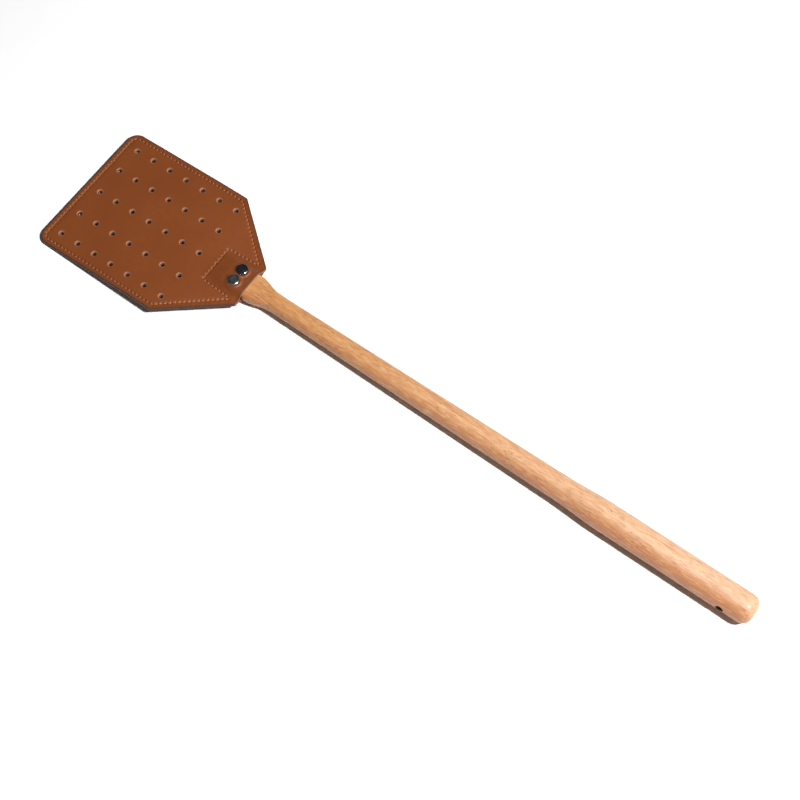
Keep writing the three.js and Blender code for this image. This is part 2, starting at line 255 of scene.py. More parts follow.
def rivet_press(u, v):
    """The leather squeezed under each cap and swelling round it."""
    height = np.zeros_like(u)
    for ru, rv in rivet_places():
        from_cap = np.hypot(u - ru, v - rv) - CAP_RADIUS
        height += SWELL_HEIGHT * bell(from_cap - SWELL_FROM_CAP, SWELL_WIDTH)
        height -= HOLLOW_DEPTH * bell(from_cap - HOLLOW_FROM_CAP, HOLLOW_WIDTH)
    return height


def handle_radius(u):
    taper = NECK_RADIUS + (TAPER_END_RADIUS - NECK_RADIUS) * (u - NECK_AT) / (TAPER_END - NECK_AT)
    shoulder = smoothstep(u, TAPER_END, SHOULDER_END)
    body = TAPER_END_RADIUS + (GRIP_RADIUS - TAPER_END_RADIUS) * shoulder
    radius = np.where(u < NECK_AT, NECK_RADIUS, np.where(u < TAPER_END, taper, body))
    into_round = np.clip(u - (HANDLE_END - END_ROUND), 0, END_ROUND)
    return radius - END_ROUND + np.sqrt(END_ROUND**2 - into_round**2)


def tongue_half_thickness(u):
    """The tongue thins in a wedge from just past the rivets, and is eased at its end."""
    fall = smoothstep(-u, WEDGE_START, WEDGE_FOOT)
    return TONGUE_HALF_THICKNESS - (POCKET_TOP - LEATHER) * fall - tongue_corner(u) * TONGUE_END_EASE


def tongue_corner(u):
    into = np.clip(TONGUE_CORNER - TONGUE_LENGTH - u, 0, TONGUE_CORNER)
    return TONGUE_CORNER - np.sqrt(TONGUE_CORNER**2 - into**2)


def blend_between(a, b, share):
    return a + (b - a) * share


# ---- Mesh tools ----------------------------------------------------------------------------


def new_piece(name, points, faces, smooth_angle=38):
    """An object from points in the handle's frame, kept in the row frame, smooth but for edges."""
    flat = np.asarray(points, float).reshape(-1, 3)
    placed = flat @ np.array(TO_ROW.to_3x3()).T + np.array(TO_ROW.translation)
    mesh = bpy.data.meshes.new(name)
    mesh.from_pydata(placed.tolist(), [], [list(map(int, f)) for f in faces])
    mesh.validate()
    mesh.update()
    piece = bpy.data.objects.new(name, mesh)
    bpy.context.scene.collection.objects.link(piece)
    finish_mesh(piece, smooth_angle)
    return piece


def own_points(piece):
    """The piece's points in the handle's frame."""
    return np.array([FROM_ROW @ vertex.co for vertex in piece.data.vertices])


def finish_mesh(piece, smooth_angle):
    """Smooth shading, and each point's place in the handle's frame as the attribute grain."""
    mesh = piece.data
    mesh.polygons.foreach_set("use_smooth", [True] * len(mesh.polygons))
    mesh.set_sharp_from_angle(angle=math.radians(smooth_angle))
    put_attribute(piece, "grain", own_points(piece), "FLOAT_VECTOR", "vector")


def put_attribute(piece, name, values, kind="FLOAT", field="value"):
    attribute = piece.data.attributes.get(name) or piece.data.attributes.new(name, kind, "POINT")
    attribute.data.foreach_set(field, np.asarray(values, np.float32).ravel())


def turned(profile, sides):
    """Points and faces of a closed profile of (radius, height) pairs turned about the w axis.
    The profile starts and ends on the axis."""
    inner = profile[1:-1]
    angles = [2 * math.pi * i / sides for i in range(sides)]
    points = [(0, 0, profile[0][1])]
    for radius, height in inner:
        points += [(radius * math.cos(a), radius * math.sin(a), height) for a in angles]
    points.append((0, 0, profile[-1][1]))
    last = len(points) - 1
    faces = []
    for i in range(sides):
        j = (i + 1) % sides
        faces.append((0, 1 + j, 1 + i))
        for k in range(len(inner) - 1):
            a, b = 1 + k * sides, 1 + (k + 1) * sides
            faces.append((a + i, a + j, b + j, b + i))
        top = 1 + (len(inner) - 1) * sides
        faces.append((top + i, top + j, last))
    return points, faces


def cut(piece, cutters):
    """Cuts each cutter out of the piece, and removes the cutters."""
    for cutter in cutters:
        modifier = piece.modifiers.new("cut", "BOOLEAN")
        modifier.object = cutter
        modifier.operation = "DIFFERENCE"
        modifier.solver = "EXACT"
    graph = bpy.context.evaluated_depsgraph_get()
    mesh = bpy.data.meshes.new_from_object(piece.evaluated_get(graph))
    piece.modifiers.clear()
    piece.data = mesh
    for cutter in cutters:
        bpy.data.objects.remove(cutter)


# ---- The leather's outline, holes and seam -------------------------------------------------


def outline(inset):
    """The head's outline, this far inside its edge, as an even run of (u, v) points."""
    upper = [(0, ROOT_HALF_WIDTH), (-CHAMFER_LENGTH, HEAD_HALF_WIDTH), (-HEAD_LENGTH, HEAD_HALF_WIDTH)]
    corners = upper + [(u, -v) for u, v in reversed(upper)]
    half_radii = [ROOT_CORNER_RADIUS, SIDE_CORNER_RADIUS, FAR_CORNER_RADIUS]
    radii = half_radii + half_radii[::-1]
    arcs = []
    for i, corner in enumerate(corners):
        before, after = corners[i - 1], corners[(i + 1) % len(corners)]
        arcs.append(corner_arc(before, corner, after, radii[i], inset))
    points = []
    for i, arc in enumerate(arcs):
        points += arc
        start, end = arc[-1], arcs[(i + 1) % len(arcs)][0]
        count = max(1, round((end - start).length / OUTLINE_STEP))
        points += [start.lerp(end, k / count) for k in range(1, count)]
    return np.array([tuple(p) for p in points])


def corner_arc(before, corner, after, radius, inset):
    """Points of the arc that rounds a corner between its neighbours, this far inside it."""
    here = Vector(corner)
    to_before = (Vector(before) - here).normalized()
    to_after = (Vector(after) - here).normalized()
    half = to_before.angle(to_after) / 2
    centre = here + (to_before + to_after).normalized() * (radius / math.sin(half))
    start = here + to_before * (radius / math.tan(half)) - centre
    heading = math.atan2(start.y, start.x)
    sweep = math.pi - 2 * half
    steps = max(3, round(radius * sweep / ARC_STEP))
    angles = [heading + sweep * k / steps for k in range(steps + 1)]
    reach = radius - inset
    return [Vector((centre.x + reach * math.cos(a), centre.y + reach * math.sin(a))) for a in angles]


def edge_distance(u, v):
    """Distance in from the head's edge, not counting its corner rounding."""
    slope = Vector((CHAMFER_LENGTH, HEAD_HALF_WIDTH - ROOT_HALF_WIDTH)).normalized()
    to_chamfer = (ROOT_HALF_WIDTH - np.abs(v)) * slope.x - u * slope.y
    to_side = HEAD_HALF_WIDTH - np.abs(v)
    to_far = u + HEAD_LENGTH
    flat = np.minimum.reduce([-u, to_chamfer, to_side, to_far])
    round_u = np.maximum(0, FAR_CORNER_RADIUS - to_far)
    round_v = np.maximum(0, FAR_CORNER_RADIUS - to_side)
    in_corner = (round_u > 0) & (round_v > 0)
    return np.where(in_corner, FAR_CORNER_RADIUS - np.hypot(round_u, round_v), flat)


def hole_places():
    places = []
    for row in range(HOLE_ROWS):
        u = FIRST_ROW_FROM_FAR_EDGE + row * HOLE_PITCH - HEAD_LENGTH
        places += [(u, v) for v in HOLE_COLUMNS]
    return places


def seam_corners():
    """Corners of the seam: in from the pocket's end, out along the chamfer and round the head."""
    root, side = Vector((0, ROOT_HALF_WIDTH)), Vector((-CHAMFER_LENGTH, HEAD_HALF_WIDTH))
    along = (side - root).normalized()
    inset = side + Vector((-along.y, along.x)) * STITCH_INSET
    side_v = HEAD_HALF_WIDTH - STITCH_INSET
    side_u = inset.x + (side_v - inset.y) * along.x / along.y
    half = [
        Vector((-SEAM_FROM_ROOT, SEAM_HALF_WIDTH)),
        Vector((-MOUTH_SEAM_FROM_ROOT, MOUTH_SEAM_HALF_WIDTH)),
        Vector((side_u, side_v)),
        Vector((-HEAD_LENGTH + STITCH_INSET, side_v)),
    ]
    return half + [Vector((p.x, -p.y)) for p in reversed(half)]


def seam_line(spacing):
    """Points along the seam from the middle of the pocket's end all the way round, with rounded
    corners, and the distance along it of each."""
    corners = seam_corners()
    middle = Vector((-SEAM_FROM_ROOT, 0))
    gap = Vector((0, SEAM_END_GAP))
    line = [middle + gap]
    for i, corner in enumerate(corners):
        before = line[-1] if i == 0 else corners[i - 1]
        after = corners[i + 1] if i + 1 < len(corners) else middle - gap
        at_far_edge = corner.x < -HEAD_LENGTH + FAR_CORNER_RADIUS
        reach = FAR_SEAM_CORNER_RADIUS if at_far_edge else SEAM_CORNER_RADIUS
        start = corner + (before - corner).normalized() * reach
        end = corner + (after - corner).normalized() * reach
        for k in range(SEAM_CORNER_STEPS + 1):
            t = k / SEAM_CORNER_STEPS
            line.append(start.lerp(corner, t).lerp(corner.lerp(end, t), t))
    line.append(middle - gap)
    line = np.array([tuple(p) for p in line])
    lengths = np.concatenate([[0], np.cumsum(np.linalg.norm(np.diff(line, axis=0), axis=1))])
    stitches = round(lengths[-1] / STITCH_PITCH)
    count = stitches * round(STITCH_PITCH / spacing)
    at = np.linspace(0, lengths[-1], count + 1)
    points = np.stack([np.interp(at, lengths, line[:, i]) for i in (0, 1)], axis=1)
    return points, at, lengths[-1] / stitches


def seam_sides(points):
    """The direction across the seam at each of its points."""
    along = np.gradient(points, axis=0)
    along /= np.linalg.norm(along, axis=1)[:, None]
    return np.stack([-along[:, 1], along[:, 0]], axis=1)


SEAM_STEP = STITCH_PITCH / 8
SEAM_POINTS, SEAM_AT, STITCH_LENGTH = seam_line(SEAM_STEP)
SEAM_ROWS = [s * MM for s in (0, 0.22, -0.22, 0.45, -0.45, 0.75, -0.75, 1.2, -1.2)]


def point_tree(points):
    tree = KDTree(len(points))
    for i, (u, v) in enumerate(points):
        tree.insert((u, v, 0), i)
    tree.balance()
    return tree


def seam_groove(u, v):
    """Depth of the channel that the stitches are pulled into, with a deeper pit at each needle
    hole, and the distance from the seam."""
    tree = point_tree(SEAM_POINTS)
    found = [tree.find((pu, pv, 0)) for pu, pv in zip(u, v)]
    nearest = [index for _, index, _ in found]
    distance = np.array([away for _, _, away in found])
    phase = (SEAM_AT[nearest] / STITCH_LENGTH) % 1
    from_needle = np.minimum(phase, 1 - phase) * STITCH_LENGTH
    pit = bell(from_needle, PIT_WIDTH) * bell(distance, PIT_WIDTH)
    return GROOVE_DEPTH * bell(distance, GROOVE_WIDTH) + PIT_DEPTH * pit, distance


# ---- The leather panels --------------------------------------------------------------------


def ring(u, v, radius, count):
    angles = np.arange(count) * 2 * np.pi / count
    return np.stack([u + radius * np.cos(angles), v + radius * np.sin(angles)], axis=1)


def in_a_hole(u, v, margin=0):
    """Whether points lie in a punched hole or a rivet's hole, or within the margin of one."""
    inside = np.zeros(np.shape(u), bool)
    for places, radius in ((hole_places(), HOLE_RADIUS), (rivet_places(), RIVET_HOLE_RADIUS)):
        for hu, hv in places:
            inside |= np.hypot(u - hu, v - hv) <= radius + margin
    return inside


def fill_grid(pitch, keep_out, reach):
    """Points of a staggered grid over the head, none nearer than reach to the points kept out."""
    columns = int(HEAD_HALF_WIDTH / pitch) + 1
    grid = [
        (-pitch * i - 0.4 * pitch, pitch * (j + 0.5 * (i % 2)))
        for i in range(int(HEAD_LENGTH / pitch) + 1)
        for j in range(-columns, columns + 1)
    ]
    u, v = np.array(grid).T
    good = (edge_distance(u, v) >= reach) & ~in_a_hole(u, v)
    tree = point_tree(keep_out)
    far = [tree.find((*point, 0))[2] > reach for point in grid]
    return np.array(grid)[good & far]


def triangulate(loops, loose):
    """Triangles between closed loops, the first round the outside and the others round holes."""
    points, edges, holes = [], [], []
    for loop in loops:
        base = len(points)
        points += [Vector(p) for p in loop]
        edges += [(base + i, base + (i + 1) % len(loop)) for i in range(len(loop))]
        holes.append(range(base, base + len(loop)))
    points += [Vector(p) for p in loose]
    found, _, faces, origins, _, _ = delaunay_2d_cdt(points, edges, [], 0, 1e-8)
    assert len(found) == len(points), "the outline's points coincide"
    order = {i: source[0] for i, source in enumerate(origins)}
    in_hole = [set(h) for h in holes[1:]]
    outer = set(holes[0])
    kept = []
    for face in faces:
        face = [order[i] for i in face]
        if any(all(i in h for i in face) for h in in_hole):
            continue
        if all(i in outer for i in face) and outside(points, face):
            continue
        a, b, c = (points[i] for i in face)
        if (b - a).cross(c - a) < 0:
            face.reverse()
        kept.append(face)
    return np.array([tuple(p) for p in points]), kept, holes


def outside(points, face):
    centre = sum((points[i] for i in face), Vector((0, 0))) / 3
    return edge_distance(centre.x, centre.y) < 0


def panel_loops():
    """The loops that bound a panel: its edge, then its punched holes, then the rivets' holes."""
    holes = [ring(u, v, HOLE_RADIUS, HOLE_SIDES) for u, v in hole_places()]
    rivets = [ring(u, v, RIVET_HOLE_RADIUS, RIVET_HOLE_SIDES) for u, v in rivet_places()]
    return [outline(0), *holes, *rivets]


def outer_sheet(loops):
    """Flat points and triangles of a panel's outer face, fine along the seam and the edge and
    round the holes and the rivets, and the range of points in each loop."""
    across = seam_sides(SEAM_POINTS)
    fine = [SEAM_POINTS + across * offset for offset in SEAM_ROWS]
    fine += [outline(inset) for inset in EDGE_RINGS]
    for reach in HOLE_RINGS:
        fine += [ring(u, v, HOLE_RADIUS + reach, HOLE_SIDES) for u, v in hole_places()]
    for reach in RIVET_RINGS:
        for u, v in rivet_places():
            around = ring(u, v, RIVET_HOLE_RADIUS + reach, RIVET_RING_SIDES)
            on_own_side = around[:, 1] * v >= 0
            fine.append(around[on_own_side])
    fine = thin_out(np.concatenate(fine), fixed=np.concatenate(loops), reach=0.09 * MM)
    grid = fill_grid(pitch=1.5 * MM, keep_out=np.concatenate([fine, *loops]), reach=0.85 * MM)
    points, faces, ranges = triangulate(loops, np.concatenate([fine, grid]))
    form_holes(points, MOUTH_FLAT, MOUTH_FORMED)
    return points, faces, ranges


def inner_sheet(loops):
    """Flat points and triangles of a panel's inner face, its holes drawn in to their waists."""
    grid = fill_grid(pitch=3 * MM, keep_out=np.concatenate(loops), reach=1.6 * MM)
    points, faces, _ = triangulate(loops, grid)
    drawn_in = 1.2 * HOLE_RADIUS
    form_holes(points, [HOLE_RADIUS, drawn_in], [HOLE_WAIST_RADIUS, drawn_in])
    return points, faces


def hide_points(u, v, height):
    """Points at this height over the leather's middle plane."""
    return np.stack([u, v, droop(u) + ripple(u, v) + height], axis=1)


def from_panel_edge(u, v):
    return np.clip(edge_distance(u, v), 0, None)


def hole_distance(u, v):
    """Distance from the middle of the nearest punched hole."""
    return np.min([np.hypot(u - hu, v - hv) for hu, hv in hole_places()], axis=0)


def outer_height(u, v, groove):
    """Height of a panel's outer face over the middle plane."""
    height = STACK_HALF + pocket_lift(u, v) + rivet_press(u, v) - groove
    into_round = np.clip(EDGE_ROUND - from_panel_edge(u, v), 0, None)
    height -= EDGE_ROUND - np.sqrt(EDGE_ROUND**2 - into_round**2)
    return height - np.interp(hole_distance(u, v), MOUTH_FORMED, MOUTH_DROP)


def wall_faces(ranges, count, side):
    """Faces round a panel's edge and through its holes, between outer points and inner ones."""
    faces = []
    for n, loop in enumerate(ranges):
        winding = side if n == 0 else -side
        for a, b in zip(loop, [*loop[1:], loop[0]]):
            faces.append([a, count + a, count + b, b][::winding])
    return faces


def leather_panel(name, side):
    """One panel. side is +1 for the front and -1 for the back."""
    loops = panel_loops()
    sheet, outer_faces, ranges = outer_sheet(loops)
    inner, inner_faces = inner_sheet(loops)
    u, v = sheet.T
    iu, iv = inner.T
    count = len(sheet)
    groove, from_seam = seam_groove(u, v)
    outer_points = hide_points(u, v, side * outer_height(u, v, groove))
    inner_points = hide_points(iu, iv, side * (PANEL_GAP / 2 + pocket_lift(iu, iv)))
    faces = [face[::side] for face in outer_faces]
    faces += [[count + i for i in face[::-side]] for face in inner_faces]
    faces += wall_faces(ranges, count, side)
    panel = new_piece(name, np.concatenate([outer_points, inner_points]), faces)
    recalculate(panel)
    punched = slice(ranges[1].start, ranges[len(hole_places())].stop)
    mark_panel(panel, sheet, inner, punched, from_seam)
    return panel


def mark_panel(panel, sheet, inner, punched, from_seam):
    """What the leather's material reads: dark painted edges and painted shade on the hole walls,
    cut fibres, painted shade along the seam, and a darkening near the edge. The slice punched
    picks the points in the punched holes' walls."""
    u, v = sheet.T
    iu, iv = inner.T
    plain_inside = np.zeros(len(inner))
    from_edge = from_panel_edge(u, v)
    at_root = smoothstep(u, -0.5 * MM, 0) * (np.abs(v) < ROOT_HALF_WIDTH)
    edge_paint_and_hole_shade = 0.92 * smoothstep(-from_edge, -1.0 * MM, -0.45 * MM) * (1 - at_root)
    # Painted shade: the punched holes' walls are darkened like the painted edge.
    edge_paint_and_hole_shade[punched] = np.maximum(edge_paint_and_hole_shade[punched], 0.9)
    raw = np.interp(hole_distance(u, v), MOUTH_FORMED, MOUTH_RAW)
    raw = np.maximum(raw, 0.3 * at_root * bell(from_edge, 0.2 * MM))
    inner_root = (iu > -0.3 * MM) & (np.abs(iv) < ROOT_HALF_WIDTH)
    inner_edge_paint_and_hole_shade = (from_panel_edge(iu, iv) < 0.3 * MM) & ~inner_root
    # The same painted shade on the holes' walls from the inner side.
    inner_edge_paint_and_hole_shade[punched] = True
    put_attribute(panel, "edge_paint_and_hole_shade", np.concatenate([edge_paint_and_hole_shade, inner_edge_paint_and_hole_shade]))
    put_attribute(panel, "raw", np.concatenate([raw, 0.3 * inner_root]))
    # Painted shade along the seam's channel.
    put_attribute(panel, "pull", np.concatenate([bell(from_seam, 0.9 * MM), plain_inside]))
    # Darker near the edge.
    put_attribute(panel, "rub", np.concatenate([bell(from_edge, 1.4 * MM), plain_inside]))


def form_holes(points, flat, formed):
    """Moves the points round each punched hole from the flat radii to the formed ones."""
    for hu, hv in hole_places():
        away = points - (hu, hv)
        far = np.linalg.norm(away, axis=1)
        near = far < flat[-1]
        radius = np.interp(far[near], flat, formed)
        points[near] = (hu, hv) + away[near] * (radius / far[near])[:, None]


def recalculate(piece):
    """Points every face outwards."""
    bm = bmesh.new()
    bm.from_mesh(piece.data)
    bmesh.ops.recalc_face_normals(bm, faces=bm.faces)
    bm.to_mesh(piece.data)
    bm.free()


def thin_out(points, fixed, reach):
    """The points that lie inside the head and outside its holes, with none closer than reach to
    another or to a fixed one."""
    u, v = points.T
    clear = 0.02 * MM
    candidates = points[(edge_distance(u, v) > clear) & ~in_a_hole(u, v, margin=clear)]
    tree = point_tree(np.concatenate([fixed, candidates]))
    base = len(fixed)
    dropped = set()
    kept = []
    for i, (pu, pv) in enumerate(candidates):
        near = [n for _, n, _ in tree.find_range((pu, pv, 0), reach) if n != base + i]
        if any(n < base or (n - base < i and n - base not in dropped) for n in near):
            dropped.add(i)
            continue
        kept.append((pu, pv))
    return np.array(kept)


# ---- The seam's threads --------------------------------------------------------------------


def seam_thread(name, side):
    """One continuous thread that dips into the leather at every needle hole, each stitch lying
    a little slantwise."""
    steps, around = 12, 10
    stitches = round(SEAM_AT[-1] / STITCH_LENGTH)
    share = (1 - np.cos(np.pi * np.arange(steps) / steps)) / 2
    at = np.concatenate([(k + share) * STITCH_LENGTH for k in range(stitches)])[1:]
    phase = (at / STITCH_LENGTH) % 1
    line = np.stack([np.interp(at, SEAM_AT, SEAM_POINTS[:, i]) for i in (0, 1)], axis=1)
    across = seam_sides(line)
    line = line + across * (STITCH_SLANT * (1 - 2 * phase))[:, None]
    rise = (4 * phase * (1 - phase)) ** STITCH_SQUARENESS
    lengthwise = smoothstep(np.abs(across[:, 1]), 0.80, 0.99)
    top = blend_between(STITCH_TOP, SIDE_STITCH_TOP, lengthwise)
    u, v = line.T
    centre = hide_points(u, v, side * (STACK_HALF + pocket_lift(u, v)))
    centre[:, 2] += side * blend_between(NEEDLE_DIP, top, rise)
    points, faces = tube(centre, across, around)
    thread = new_piece(name, points, faces, smooth_angle=80)
    recalculate(thread)
    angles = np.arange(around) * 2 * np.pi / around
    turn = np.repeat(at, around) / PLY_PITCH * 2 * np.pi
    put_attribute(thread, "twist", turn + np.tile(angles, len(centre)))
    return thread


def tube(centre, across, around):
    """Points and faces of a closed round tube of the thread's radius along the centre line."""
    along = np.gradient(centre, axis=0)
    along /= np.linalg.norm(along, axis=1)[:, None]
    sideways = np.stack([across[:, 0], across[:, 1], np.zeros(len(centre))], axis=1)
    upwards = np.cross(along, sideways)
    sideways = np.cross(upwards, along)
    angles = np.arange(around) * 2 * np.pi / around
    rings = [
        centre + THREAD_RADIUS * (math.cos(a) * sideways + math.sin(a) * upwards) for a in angles
    ]
    points = np.stack(rings, axis=1).reshape(-1, 3)
    faces = []
    for start in range(0, len(points) - around, around):
        for j in range(around):
            a, b = start + j, start + (j + 1) % around
            faces.append((a, b, b + around, a + around))
    faces.append(tuple(range(around))[::-1])
    faces.append(tuple(range(len(points) - around, len(points))))
    return points, faces


# ---- The handle ----------------------------------------------------------------------------


def handle_stations():
    quarter = np.sin(np.linspace(0, np.pi / 2, 12))
    tongue_end = -TONGUE_LENGTH + TONGUE_CORNER * (1 - quarter)
    runs = [
        tongue_end[::-1],
        np.linspace(-TONGUE_LENGTH + TONGUE_CORNER, FLARE_START, 12)[1:],
        np.linspace(FLARE_START, CHEEK_END, 40)[1:],
        np.linspace(CHEEK_END, TAPER_END, 54)[1:],
        np.linspace(TAPER_END, SHOULDER_END, 24)[1:],
        np.linspace(SHOULDER_END, HANDLE_END - END_ROUND, 24)[1:],
        HANDLE_END - END_ROUND * (1 - quarter[1:]),
    ]
    return np.concatenate(runs)


def handle_section(u, angles):
    """The section's (v, w) points: a rounded bar at the tongue, a circle past the cheeks."""
    radius = handle_radius(u)
    corner = tongue_corner(u)
    flare = smoothstep(u, FLARE_START, FLARE_END)
    half_width = blend_between(TONGUE_HALF_WIDTH - corner, radius, flare)
    roundness = smoothstep(u, FLARE_START, CHEEK_END)
    half_thickness = blend_between(tongue_half_thickness(u), radius, roundness)
    power = 2 / blend_between(TONGUE_SQUARENESS, 2, roundness)
    c, s = np.cos(angles), np.sin(angles)
    return (
        np.sign(c) * np.abs(c) ** power * half_width,
        np.sign(s) * np.abs(s) ** power * half_thickness,
    )


def make_handle():
    sides = 96
    angles = (np.arange(sides) + 0.5) * 2 * np.pi / sides
    stations = handle_stations()
    points = []
    for u in stations:
        v, w = handle_section(u, angles)
        points.append(np.stack([np.full(sides, u), v, w], axis=1))
    count = len(stations)
    points = np.concatenate([*points, [[stations[0], 0, 0], [stations[-1], 0, 0]]])
    faces = []
    for j in range(sides):
        k = (j + 1) % sides
        for i in range(count - 1):
            a, b = i * sides, (i + 1) * sides
            faces.append((a + j, a + k, b + k, b + j))
        faces.append((count * sides, k, j))
        end = (count - 1) * sides
        faces.append((count * sides + 1, end + j, end + k))
    handle = new_piece("beech_handle", points, faces)
    recalculate(handle)
    cut(handle, [hang_hole_cutter(), *rivet_hole_cutters()])
    finish_mesh(handle, smooth_angle=32)
    u, _, w = own_points(handle).T
    from_drill = np.hypot(u - (HANDLE_END - HANG_HOLE_FROM_END), w)
    # Marks the hanging hole's wall for painted shade.
    put_attribute(handle, "bore", from_drill < HANG_HOLE_RADIUS + 0.05 * MM)
    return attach(handle, "handle")


def hang_hole_cutter():
    """A drill across the grip, with its mouths eased."""
    ease, reach = 0.45 * MM, 14 * MM
    mouth = GRIP_RADIUS - 0.75 * MM
    half = [(HANG_HOLE_RADIUS, mouth), (HANG_HOLE_RADIUS + ease, GRIP_RADIUS)]
    half.append((HANG_HOLE_RADIUS + 2.6 * ease, reach))
    profile = [(0, -reach), *[(r, -h) for r, h in reversed(half)], *half, (0, reach)]
    points, faces = turned(profile, sides=48)
    centre = HANDLE_END - HANG_HOLE_FROM_END
    return new_piece("drill", [(centre + x, z, -y) for x, y, z in points], faces)


def rivet_hole_cutters():
    reach = 2 * GRIP_RADIUS
    profile = [(0, -reach), (RIVET_HOLE_RADIUS, -reach), (RIVET_HOLE_RADIUS, reach), (0, reach)]
    points, faces = turned(profile, sides=32)
    return [
        new_piece("drill", [(x + u, y + v, z) for x, y, z in points], faces)
        for u, v in rivet_places()
    ]


# ---- The rivets ----------------------------------------------------------------------------


def cap_dome():
    """The cap's outside from under its rolled rim up to the top, as (radius, height) pairs."""
    rim = 0.16 * MM
    low = [
        (CAP_RADIUS - rim + rim * math.sin(a), CAP_SEAT + rim - rim * math.cos(a))
        for a in np.linspace(0, math.pi / 2, 6)
    ]
    rise = CAP_HEIGHT - CAP_RIM
    power = 2 / CAP_SQUARENESS
    dome = [
        (CAP_RADIUS * math.cos(a) ** power, CAP_SEAT + CAP_RIM + rise * math.sin(a) ** power)
        for a in np.linspace(0, math.pi / 2, 30)
    ]
    return low + dome


def make_rivet(name, side, place):
    """A cap with its shank: a post on the front cap, and on the back one the sleeve round it."""
    if side > 0:
        shank = [(0, SHANK_END), (POST_RADIUS, SHANK_END), (POST_RADIUS, CAP_SEAT)]
    else:
        shank = [
            (0, CAP_SEAT),
            (SLEEVE_BORE_RADIUS, CAP_SEAT),
            (SLEEVE_BORE_RADIUS, SHANK_END),
            (SLEEVE_RADIUS, SHANK_END),
            (SLEEVE_RADIUS, CAP_SEAT),
        ]
    points, faces = turned(shank + cap_dome(), sides=72)
    points = [(x + place[0], side * y + place[1], side * z) for x, y, z in points]
    cap = new_piece(name, points, faces, smooth_angle=50)
    recalculate(cap)
    from_axis = np.hypot(*(np.array(points)[:, :2] - place).T)
    # Marks where the cap's material paints a dark reflection round its shoulder.
    put_attribute(cap, "shoulder", bell(from_axis - 0.76 * CAP_RADIUS, 0.1 * CAP_RADIUS))
    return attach(cap, "handle")


# ---- Materials -----------------------------------------------------------------------------


class Nodes:
    """A material's node tree, with short calls for the nodes used here."""

    def __init__(self, name):
        self.material = bpy.data.materials.new(name)
        self.material.use_nodes = True
        self.tree = self.material.node_tree
        self.shader = self.tree.nodes["Principled BSDF"]

    def add(self, kind, inputs=None, **settings):
        node = self.tree.nodes.new(kind)
        for key, value in settings.items():
            setattr(node, key, value)
        for key, value in (inputs or {}).items():
            self.plug(node.inputs[key], value)
        return node

    def plug(self, socket, value):
        if isinstance(value, bpy.types.NodeSocket):
            self.tree.links.new(value, socket)
        elif isinstance(value, (tuple, list)) and len(value) == 3 and len(socket.default_value) == 4:
            socket.default_value = (*value, 1)
        else:
            socket.default_value = value

    def attribute(self, name, output="Fac"):
        return self.add("ShaderNodeAttribute", attribute_name=name).outputs[output]

    def stretched(self, scale, shift=(0, 0, 0)):
        """The place in the handle's frame, in metres, times scale."""
        where = self.attribute("grain", "Vector")
        mapping = self.add("ShaderNodeMapping", {0: where, "Scale": scale, "Location": shift})
        return mapping.outputs[0]

    def noise(self, vector, scale=1.0, detail=2.0, rough=0.5, distortion=0.0):
        inputs = {"Vector": vector, "Scale": scale, "Detail": detail, "Roughness": rough}
        return self.add("ShaderNodeTexNoise", {**inputs, "Distortion": distortion}).outputs["Fac"]

    def cells(self, vector):
        """Distance from the middle of the nearest cell, in cells one unit apart."""
        found = self.add("ShaderNodeTexVoronoi", {"Vector": vector, "Scale": 1.0})
        return found.outputs["Distance"]

    def spread(self, value, low, high, out_low=0.0, out_high=1.0):
        inputs = {0: value, 1: low, 2: high, 3: out_low, 4: out_high}
        return self.add("ShaderNodeMapRange", inputs).outputs[0]

    def math(self, operation, *values):
        inputs = dict(enumerate(values))
        return self.add("ShaderNodeMath", inputs, operation=operation).outputs[0]

    def mix(self, share, first, second):
        node = self.add("ShaderNodeMix", data_type="RGBA")
        self.plug(node.inputs[0], share)
        self.plug(node.inputs[6], first)
        self.plug(node.inputs[7], second)
        return node.outputs[2]

    def bump(self, height, distance, strength, normal=None):
        inputs = {"Height": height, "Distance": distance, "Strength": strength}
        if normal is not None:
            inputs["Normal"] = normal
        return self.add("ShaderNodeBump", inputs).outputs[0]

    def surface(self, **inputs):
        for key, value in inputs.items():
            self.plug(self.shader.inputs[key.replace("_", " ")], value)
        return self.material


